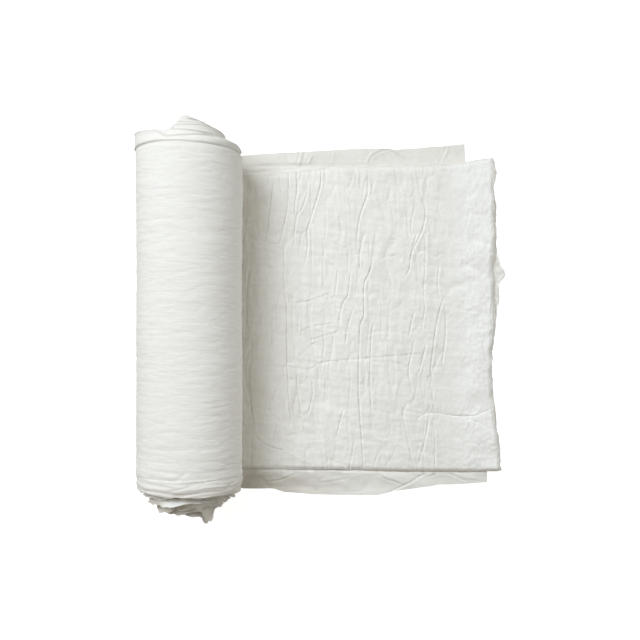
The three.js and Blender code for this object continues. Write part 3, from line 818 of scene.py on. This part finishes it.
# %% Draw the pad's outline
# The ends of the wool and of the face gauze over it, in millimetres: across, wool, gauze.
PAD_ENDS = [
    (-197, 394.6, 392.2),
    (-156, 390.7, 388.5),
    (-120, 386.8, 385),
    (-98, 383.6, 382.2),
    (-58, 381.7, 380.4),
    (-6, 386.2, 383),
    (26, 391.5, 383),
    (43, 391, 382.5),
    (50, 395, 382),
    (56, 399.5, 381.5),
    (63, 398.5, 381.5),
    (70, 393, 382),
    (100, 388.1, 384),
    (145, 387.5, 385.5),
    (173, 384.2, 382.5),
    (192, 387.5, 384.5),
    (211, 383.6, 381.5),
]
# The pad's long edges, in millimetres: along, near edge, the wool's far edge, the face gauze's.
PAD_EDGES = [
    (0, -193, 201, 186),
    (67, -193.3, 201.5, 187.5),
    (100, -194, 201, 190.7),
    (132, -194.6, 201, 193.3),
    (178, -195, 201.5, 199.2),
    (262, -196.6, 201.5, 199.8),
    (314, -197.2, 203, 201.1),
    (347, -197, 206, 205),
    (366, -196.8, 210, 208.9),
    (395, -196.6, 213, 211.5),
]


def read_column(table, column):
    """A function that gives a column's value at any place, from a table in millimetres."""
    rows = np.array(table).T * MM
    return lambda place: np.interp(place, rows[0], rows[column])


wool_end, face_end = (read_column(PAD_ENDS, k) for k in (1, 2))
near_side, wool_side, face_side = (read_column(PAD_EDGES, k) for k in (1, 2, 3))
print("the wool's tuft reaches", max(row[1] for row in PAD_ENDS), "mm along the pad")

# %% [markdown]
# ## The loose back gauze
# Under the pad lies the wide back gauze. Its two margins show past the wool, thin and slightly grey, and
# the near one is painted greyer by the roll, as painted shade.
# It lies flat, so its folds are low: each is listed, as the creases are.

# %% Lay out the back gauze
# In millimetres: along, the near and the far edge, and how high each one's margin rides up.
BACK_EDGES = [
    (0, -206, 207, 0, 0),
    (57, -221, 216, 0.24, 0.18),
    (98, -221, 218, 0.6, 0.36),
    (113, -226, 219, 1.8, 0.72),
    (137, -227.5, 220, 0.72, 0.24),
    (168, -229, 222, 1.56, 0.96),
    (197, -229.5, 224.3, 0.6, 0.36),
    (234, -229, 224.5, 1.92, 1.44),
    (256, -224, 223, 0.48, 0.48),
    (290, -218.5, 225.5, 1.68, 0.3),
    (315, -216, 227.5, 0.6, 0.84),
    (347, -214.5, 231, 1.44, 0.24),
    (377, -212.5, 233, 0.36, 0.24),
]
# The near margin slopes down from this height on the wool's edge: by the roll, and further on.
DRAPED_FROM = (8.5 * MM, 3.6 * MM)
DRAPE_REACH = 22 * MM
# The far margin puffs up this far past the wool: by the roll, and further on.
FAR_PUFF = (2.8 * MM, 0.6 * MM)
BACK_PLY = 0.45 * MM
BACK_END_NEAR = 377 * MM
BACK_END_FAR = 347 * MM
BACK_FOLDS = [
    (0.7, 1.62, [(132, 221), (130, 212), (127, 203)]),
    (0, 1.62, [(145, 216), (140, 206)]),
    (0.5, 0.72, [(174, 221), (171, 205)]),
    (0.4, 0.54, [(211, 226), (216, 213)]),
    (0.2, 1.5, [(221, 201), (224, 211), (232, 218), (246, 222), (262, 214), (278, 207)]),
    (0.8, 0.72, [(250, 221), (260, 215), (270, 208)]),
    (0.8, 1.08, [(325, 231), (320, 218), (313, 203)]),
    (-0.8, 0, [(72, -195), (80, -203), (93, -211)]),
    (1.4, 1.3, [(92, -211), (106, -209), (117, -204), (129, -200)]),
    (0.5, 1.08, [(157, -213), (171, -211), (183, -209), (198, -206)]),
    (0.5, 0.72, [(187, -204), (212, -199)]),
    (1.2, 1.2, [(230, -200), (245, -208), (257, -212), (266, -216)]),
    (2.1, 0.5, [(298, -199), (283, -208), (276, -212), (265, -218), (245, -227)]),
    (1.1, 1.2, [(300, -205), (311, -201), (327, -201), (339, -206), (352, -212)]),
    (0.5, 0.72, [(335, -201), (350, -208), (364, -211)]),
]


def back_gauze_piece():
    share_along, share = grid(np.linspace(0, 1, 281), across_rows(30, 6))
    end = BACK_END_NEAR + (BACK_END_FAR - BACK_END_NEAR) * share
    along = PLY_GAP + (end - PLY_GAP) * share_along
    near, far, near_lift, far_lift = (read_column(BACK_EDGES, k)(along) for k in (1, 2, 3, 4))
    near = near + ragged(along, (0.5, 15, 51))
    far = far + ragged(along, (0.4, 20, 52))
    y = near + (far - near) * share
    lifted = np.where(y < 0, rise(-y, 200, 224) * near_lift, rise(y, 207, 226) * far_lift)
    past_near_wool = near_side(along) - y
    draped = np.interp(along, (110 * MM, 250 * MM), DRAPED_FROM) * rise(past_near_wool, 0.7, 2.6)
    draped = draped * (1 - np.clip((past_near_wool - 2.6 * MM) / DRAPE_REACH, 0, 1))
    puffed = np.interp(along, (130 * MM, 230 * MM), FAR_PUFF) * rise(y - wool_side(along), 1, 4.5)
    out_of_nip = rise(along, 62, 90)
    margin = rise(np.abs(y), 199, 205)
    folds = relief(along, y, BACK_FOLDS) * rise(np.abs(y), 195, 201)
    wrinkles = layered(along, y, (0.3, 6, 12, 53)) + layered(along + 0.8 * y, y, (1.1, 21, 12, 55))
    wrinkles += 0.3 * MM - 0.5 * MM * hairlines(along + 0.4 * y, y, 16, 30, 0.08, 54)
    height = lifted + out_of_nip * (draped + puffed) + CREASE_KEPT * folds + margin * wrinkles
    lower = np.stack([axis_x + along, y, np.maximum(height, 0)], -1)
    upper = lower + [0, 0, BACK_PLY]
    # Painted shade: the near margin is painted much greyer by the roll, fading along the pad; beyond that
    # both margins are only a little greyer, as a bare ply.
    bare_and_painted_shade = np.where(y < 0, 0.05 + 0.35 * (1 - rise(along, 90, 230)), 0.12)
    backing_and_painted_light = ON_WOOL - bare_and_painted_shade * margin
    return closed_sheet("loose_back_gauze", upper, lower, (-along, y), gauze, backing_and_painted_light=backing_and_painted_light)


back_gauze = back_gauze_piece()

# %% [markdown]
# ## The loose wool
# The wool is thin under the roll and swells as it comes out from under it. Its long edges are soft
# and round. Its loose end was torn across, so it is uneven, thin and downy, with one tuft that
# reaches further than the rest.

# %% Lay out the wool
WOOL_UNDER_ROLL = 3.7 * MM
WOOL_IN_THE_OPEN = 5.6 * MM
WOOL_FLUFFED = 9 * MM  # near the loose end
SWELLS_OVER = (5, 32)  # in millimetres along, as it comes out from under the roll
FLUFFS_FROM = 322 * MM
FLUFFS_IN = 56 * MM
WOOL_BOTTOM = 1.3 * MM
SIDE_ROUNDING = 5 * MM
END_ROUNDING = 9 * MM
PAST_GAUZE = 2.5 * MM  # how far past the gauze's end the rounding ends
BARE_GROOVE = 1.6 * MM  # along the strip that the face gauze leaves bare
WOOL_SPAN = (-196.8, 211)  # millimetres across
COARSE_TO = 350 * MM  # the hidden wool's columns lie far apart
COLUMNS = 30  # up to there, and again in the torn end


def rounded(distance, radius):
    """A quarter circle's rise, from 0 at an edge to 1 a radius away from it."""
    return np.sqrt(np.clip(1 - (1 - np.clip(distance / radius, 0, 1)) ** 2, 0, 1))


def wool_top(along, across):
    """The height of the wool, with its edges rounded off. Past the gauze it is thin and wispy."""
    thickness = WOOL_UNDER_ROLL + (WOOL_IN_THE_OPEN - WOOL_UNDER_ROLL) * rise(along, *SWELLS_OVER)
    fluffed = np.clip((along - FLUFFS_FROM) / FLUFFS_IN, 0, 1)
    thickness = thickness + (WOOL_FLUFFED - WOOL_IN_THE_OPEN) * fluffed
    from_side = np.minimum(across - near_side(along), wool_side(along) - across)
    from_end = face_end(across) + PAST_GAUZE - along + ragged(across, (2.8, 14, 66))
    side, end = rounded(from_side, SIDE_ROUNDING), rounded(from_end, END_ROUNDING)
    return WOOL_BOTTOM + thickness * (0.3 + 0.7 * side) * (0.25 + 0.75 * end)


def wool_piece():
    hidden = np.linspace(PLY_GAP, COARSE_TO, COLUMNS)[:-1]
    share_along, share = grid(np.linspace(0, 1, COLUMNS), across_rows(36, 130))
    across = np.interp(share, (0, 1), WOOL_SPAN) * MM
    end = wool_end(across) + ragged(across, (0.9, 7, 61), (0.5, 2.5, 62))
    torn = COARSE_TO + (end - COARSE_TO) * share_along**0.8
    along = np.concatenate([np.repeat(hidden[:, None], share.shape[1], 1), torn])
    share = np.concatenate([np.repeat(share[:1], len(hidden), 0), share])
    near = near_side(along) + ragged(along, (0.6, 10, 63))
    far = wool_side(along) + ragged(along, (0.6, 12, 64))
    y = near + (far - near) * share
    top = wool_top(along, np.clip(y, near_side(along), wool_side(along)))
    from_back_end = along - BACK_END_NEAR - (BACK_END_FAR - BACK_END_NEAR) * share
    bottom = WOOL_BOTTOM * (1 - rise(from_back_end, 1, 8))
    past_gauze = y - face_side(along)
    top = top - BARE_GROOVE * np.exp(-(((past_gauze - 4 * MM) / (1.3 * MM)) ** 2)) * (past_gauze > 0)
    wispy = rise(along - face_end(y), -3, 1)
    downy = 1.4 * MM * (uneven(along, y, 2.6, 2.4, 65) + 0.4) * wispy
    x = axis_x + along
    upper = np.stack([x, y, np.maximum(top + downy, bottom + 0.8 * MM)], -1)
    return closed_sheet("loose_wool", upper, np.stack([x, y, bottom], -1), (-along, y), wool)


loose_wool = wool_piece()

# %% [markdown]
# ## The face gauze
# Now that the pad lies flat the creases stay in its face gauze. Near the loose end, the outermost
# stretch of the pad, they fade out, and the gauze is drawn down over the wool's soft end. Between
# them lie fine pleats, ripples and a soft puffing of the wool underneath.

# %% Lay the creased face gauze
SHOWS_FROM = 58 * MM
SMOOTH_FROM = 332 * MM
HIDDEN_COLUMNS = 12
CREASED_COLUMNS = 312
SMOOTH_COLUMNS = 44
FACE_ROWS = 248
FACE_SPAN = (-197, 211)  # millimetres across
# Where creases cross the pad's width the rows lie close, all in millimetres.
CLOSE_ROWS = [(-195, -150), (-140, -115), (-70, -40), (-30, 40), (80, 122)]
CLOSE_SPACING = 1.3
WIDE_SPACING = 1.9
COLUMN_SNAP = 0.43 * MM
ROW_SNAP = 0.64 * MM
FACE_PLY = 2.7 * MM
THINNEST = 0.25 * MM
RIM = 1.6 * MM  # the height and the width of the raised far edge
# Layers of unevenness, now along the pad and across it.
WANDERING = (5, 30, 40, 74)
PLEATS = [(0.3, 3.4, 16, 75), (0.4, 6, 30, 76)]
PUCKERS = (0.22, 2.6, 3.8, 88)
SOFT = (1.9, 19, 22, 78)
# Soft hollows by the tuft, in millimetres as the creases are.
HOLLOWS = [
    (1.9, 0, [(340, 73), (352, 69), (365, 61), (384, 52)]),
    (1.3, 0, [(318, 34), (332, 42), (348, 49), (362, 55)]),
    (1.1, 0, [(352, 108), (364, 100), (378, 98)]),
    (1.2, 0, [(366, -32), (374, -22), (384, -18)]),
]
HOLLOW_HALF_WIDTH = 5 * MM


def face_rows():
    """The rows' shares of the pad's width."""
    across = np.linspace(*FACE_SPAN, 817)  # half a millimetre apart
    close = sum((across > low) & (across < high) for low, high in CLOSE_ROWS)
    density = np.where(close, 1 / CLOSE_SPACING, 1 / WIDE_SPACING)
    passed = np.cumsum(density) - density[0]
    places = np.interp(np.linspace(0, passed[-1], FACE_ROWS + 1), passed, across)
    return np.interp(places, FACE_SPAN, (0, 1))


def face_gauze_piece():
    hidden = np.linspace(PLY_GAP, SHOWS_FROM, HIDDEN_COLUMNS, endpoint=False)
    creased = np.linspace(SHOWS_FROM, SMOOTH_FROM, CREASED_COLUMNS, endpoint=False)
    columns = np.concatenate([hidden, creased, np.full(SMOOTH_COLUMNS + 1, SMOOTH_FROM)])
    to_end = np.zeros(len(columns))
    to_end[-SMOOTH_COLUMNS - 1 :] = np.linspace(0, 1, SMOOTH_COLUMNS + 1) ** 0.8
    column, share = grid(np.arange(len(columns)), face_rows())
    guess = np.interp(share, (0, 1), FACE_SPAN) * MM
    end = face_end(guess) + ragged(guess, (0.8, 9, 71), (0.4, 3.6, 87), (0.9, 24, 90))
    along = columns[column] + (end - SMOOTH_FROM) * to_end[column]
    near = near_side(along) - 0.2 * MM + ragged(along, (0.4, 13, 72))
    far = face_side(along) + ragged(along, (0.4, 16, 73))
    y = near + (far - near) * share
    inside = np.s_[1:-1, 1:-1]
    for creases, snap in ((CROSS_CREASES, ROW_SNAP), (LONG_CREASES, COLUMN_SNAP)):
        along[inside], y[inside] = drawn_onto(along[inside], y[inside], creases, snap)
    inner = np.clip(y, near_side(along) + 0.3 * MM, wool_side(along) - 0.3 * MM)
    under = wool_top(np.minimum(along, wool_end(y) - 0.5 * MM), inner) + 0.2 * MM

    wander = layered(along, y, WANDERING)
    pleats = layered(along + wander, y, *PLEATS) - 0.8 * MM * hairlines(along + wander, y, 12, 70, 0.1, 79)
    pleats -= 0.6 * MM * hairlines(along + 1.5 * wander, y, 17, 34, 0.07, 80)
    puffs = layered(along, y, (0.7, 21, 34, 77)) + layered(along + wander, y, (0.65, 11, 46, 89))
    ripples = layered(along, y + 0.2 * along, (0.45, 24, 7, 81)) + layered(along, y, (0.26, 7, 3.6, 82))
    ripples += layered(along, y + 0.1 * along, (0.2, 30, 3.4, 83))
    puckers = layered(along, y, PUCKERS) * (1 + 2 * rise(along, 326, 352))
    soft = layered(along, y, SOFT) * rise(along, 325, 360)
    rim = RIM * np.exp(-(((far - y) / RIM) ** 2)) * (1 - rise(along, 150, 190))
    pressed = relief(along, y, LONG_CREASES) + relief(along, y, CROSS_CREASES)
    uncreased = relief(along, y, HOLLOWS, HOLLOW_HALF_WIDTH) + rim + soft + puckers
    fading = 1 - rise(along, 300, 345)
    raised = CREASE_KEPT * pressed + fading * (pleats + puffs) + uncreased + (0.8 + 0.2 * fading) * ripples
    from_edge = np.minimum(np.minimum(y - near, far - y), end - along)
    ply = FACE_PLY * (0.3 + 0.7 * rise(from_edge, 0, 6)) + raised * rise(along, 20, 60)
    upper = np.stack([axis_x + along, y, under + np.maximum(ply, THINNEST)], -1)
    lower = np.stack([axis_x + along, y, under], -1)[::UNDERSIDE_STEP, ::UNDERSIDE_STEP]
    blotches = uneven(along, y, 14, 11, 84) + uneven(along, y, 4, 3.4, 85)
    blotches += uneven(along, y + 0.1 * along, 26, 3, 86)
    backing_and_painted_light = 0.54 + 0.4 * rise(along, 314, 356) + 0.07 * blotches
    return closed_sheet("loose_face_gauze", upper, lower, (-along, y), gauze, pressed, backing_and_painted_light)


face_gauze = face_gauze_piece()

# %% [markdown]
# ## Put each piece on the body
# Nothing on the roll moves, so every piece rides on the one body. Each stands for a solid of the
# plain model, which is hidden, and has the finish of one material.

for piece, node, slot in (
    (outer_gauze, "roll", "gauze"),
    (wound_wool, "roll", "wool"),
    (inner_gauze, "roll", "gauze"),
    (inner_face_gauze, "roll", "gauze"),
    (back_gauze, "back_gauze", "gauze"),
    (loose_wool, "wool_layer", "wool"),
    (face_gauze, "face_gauze", "gauze"),
):
    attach(piece, "root")
    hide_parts(node)
